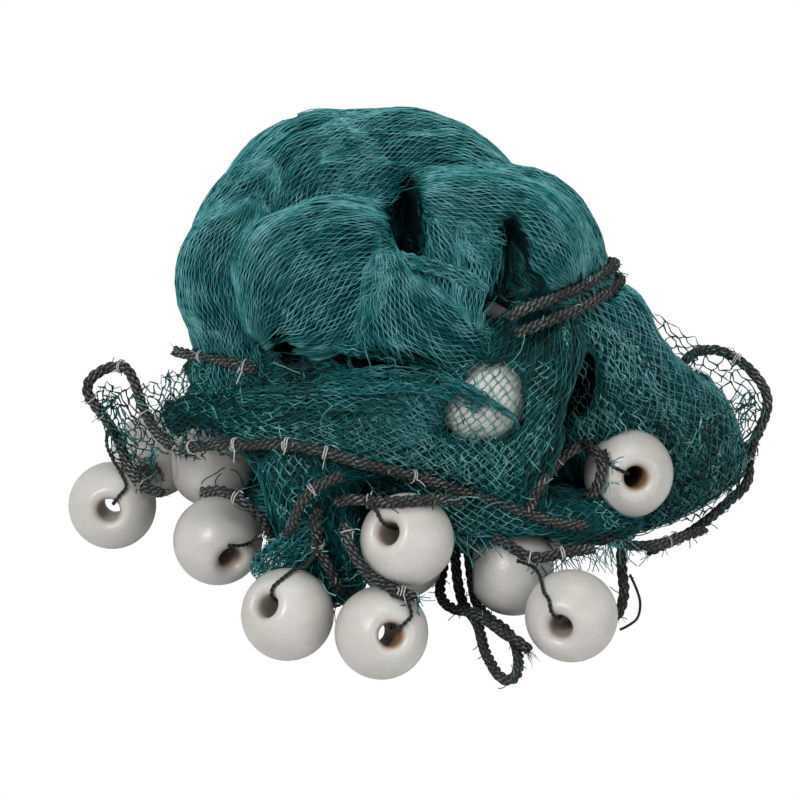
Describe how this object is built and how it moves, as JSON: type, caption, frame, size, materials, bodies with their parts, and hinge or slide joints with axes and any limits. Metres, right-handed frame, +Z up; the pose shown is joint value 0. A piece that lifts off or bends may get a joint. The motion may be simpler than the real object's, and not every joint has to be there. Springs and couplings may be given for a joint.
{
  "type": "fishing net with floats",
  "caption": "Fishing net gathered in a heap on the floor, with a corded edge rope, ring floats bent on by tie cords, a rope tie and loose rope ends.",
  "frame": {"origin": "on the floor, under the middle of the whole heap's box", "axes": "+X to the right and +Y to the back as the heap is seen from its front, +Z up"},
  "size_m": [0.6232, 0.4462, 0.374],
  "materials": {
    "twine": "knotted synthetic twine, dark blue-green, with a dull sheen",
    "rope": "worn three-strand rope, black going grey",
    "float_plastic": "satin off-white moulded plastic, scuffed"
  },
  "bodies": {
    "root": {"edge_rope_float_drop": "rope", "edge_rope_float_loop": "rope", "edge_rope_front": "rope", "edge_rope_front_left": "rope", "edge_rope_front_low": "rope", "edge_rope_front_right": "rope", "edge_rope_left_ear": "rope", "edge_rope_over_float": "rope", "edge_rope_right": "rope", "edge_rope_right_ear": "rope", "edge_rope_right_low": "rope", "edge_rope_round_float": "rope", "edge_rope_tail": "rope", "edge_rope_upper_left": "rope", "float_01": "float_plastic", "float_02": "float_plastic", "float_03": "float_plastic", "float_04": "float_plastic", "float_05": "float_plastic", "float_06": "float_plastic", "float_07": "float_plastic", "float_08": "float_plastic", "float_09": "float_plastic", "float_10": "float_plastic", "float_11": "float_plastic", "float_12": "float_plastic", "float_13": "float_plastic", "float_14": "float_plastic", "float_tie_01": "rope", "float_tie_04": "rope", "float_tie_05": "rope", "float_tie_06": "rope", "float_tie_07": "rope", "float_tie_12": "rope", "float_tie_13": "rope", "loose_loop_rope": "rope", "loose_tail_rope": "rope", "netting": "twine", "tie_rope_lower": "rope", "tie_rope_upper": "rope"}
  },
  "joints": []
}
